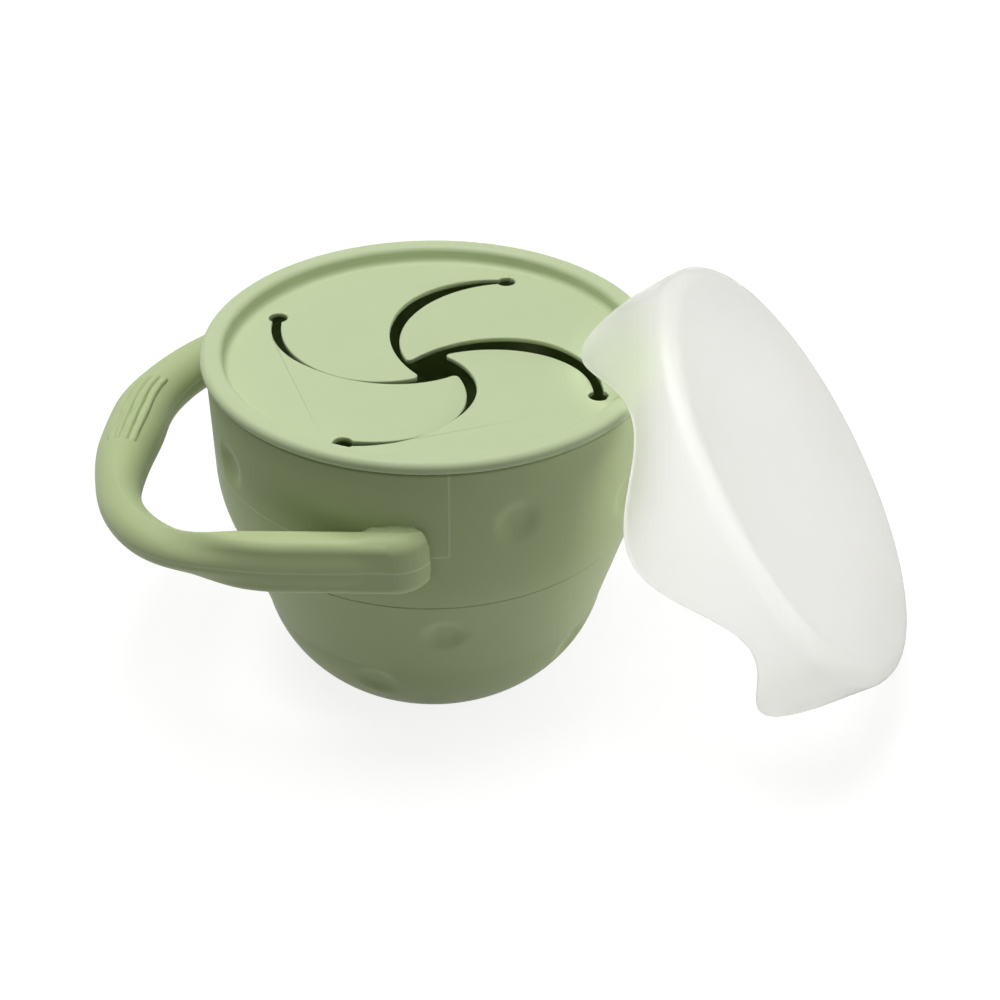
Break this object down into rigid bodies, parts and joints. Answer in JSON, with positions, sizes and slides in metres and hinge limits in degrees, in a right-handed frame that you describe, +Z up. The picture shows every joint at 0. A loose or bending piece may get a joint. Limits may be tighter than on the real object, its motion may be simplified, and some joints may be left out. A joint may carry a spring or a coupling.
{
  "type": "toddler snack cup",
  "caption": "Collapsible soft snack cup with a side carry handle, a soft lid with swirled spring petals and a loose milky dust cover with a wavy skirt.",
  "frame": {"origin": "centre of the cup's flat base, on the table", "axes": "+Z up along the cup's axis, handle towards -X, dust cover towards +X, picture seen from -Y"},
  "size_m": [0.1767, 0.1074, 0.0878],
  "materials": {
    "cup_silicone": "soft matte silicone with a faint sheen",
    "lid_silicone": "soft matte silicone, slightly lighter than the cup",
    "cover_milky_plastic": "milky translucent soft plastic, satin"
  },
  "bodies": {
    "cup_upper": {"upper_wall": "cup_silicone", "carry_handle": "cup_silicone", "fold_wall": "cup_silicone"},
    "cup_base": {"bottom_bowl": "cup_silicone"},
    "lid": {"lid_rim": "lid_silicone"},
    "petal_1": {"petal_1": "lid_silicone"},
    "petal_2": {"petal_2": "lid_silicone"},
    "petal_3": {"petal_3": "lid_silicone"},
    "petal_4": {"petal_4": "lid_silicone"},
    "cover": {"dust_cover": "cover_milky_plastic"}
  },
  "joints": [
    {"name": "collapse", "type": "slide", "parent": "cup_upper", "child": "cup_base", "axis": [0, 0, 1], "range_m": [0, 0.042], "deforming": ["fold_wall"]},
    {"name": "lid_lift", "type": "slide", "parent": "cup_upper", "child": "lid", "axis": [0, 0, 1], "range_m": [0, 0.04]},
    {"name": "petal_1_flex", "type": "hinge", "parent": "lid", "child": "petal_1", "pos_m": [-0.00898, 0.02377, 0.0711], "axis": [0.9354, 0.3535, 0], "range_deg": [-20, 45], "stiffness_Nm_per_rad": 0.006},
    {"name": "petal_2_flex", "type": "hinge", "parent": "lid", "child": "petal_2", "pos_m": [-0.02377, -0.00898, 0.0711], "axis": [-0.3535, 0.9354, 0], "range_deg": [-20, 45], "stiffness_Nm_per_rad": 0.006},
    {"name": "petal_3_flex", "type": "hinge", "parent": "lid", "child": "petal_3", "pos_m": [0.00898, -0.02377, 0.0711], "axis": [-0.9354, -0.3535, 0], "range_deg": [-20, 45], "stiffness_Nm_per_rad": 0.006},
    {"name": "petal_4_flex", "type": "hinge", "parent": "lid", "child": "petal_4", "pos_m": [0.02377, 0.00898, 0.0711], "axis": [0.3535, -0.9354, 0], "range_deg": [-20, 45], "stiffness_Nm_per_rad": 0.006},
    {"name": "cover_slide", "type": "slide", "parent": "lid", "child": "cover", "axis": [0.7727, -0.1614, 0.6139], "range_m": [0, 0.05]}
  ]
}
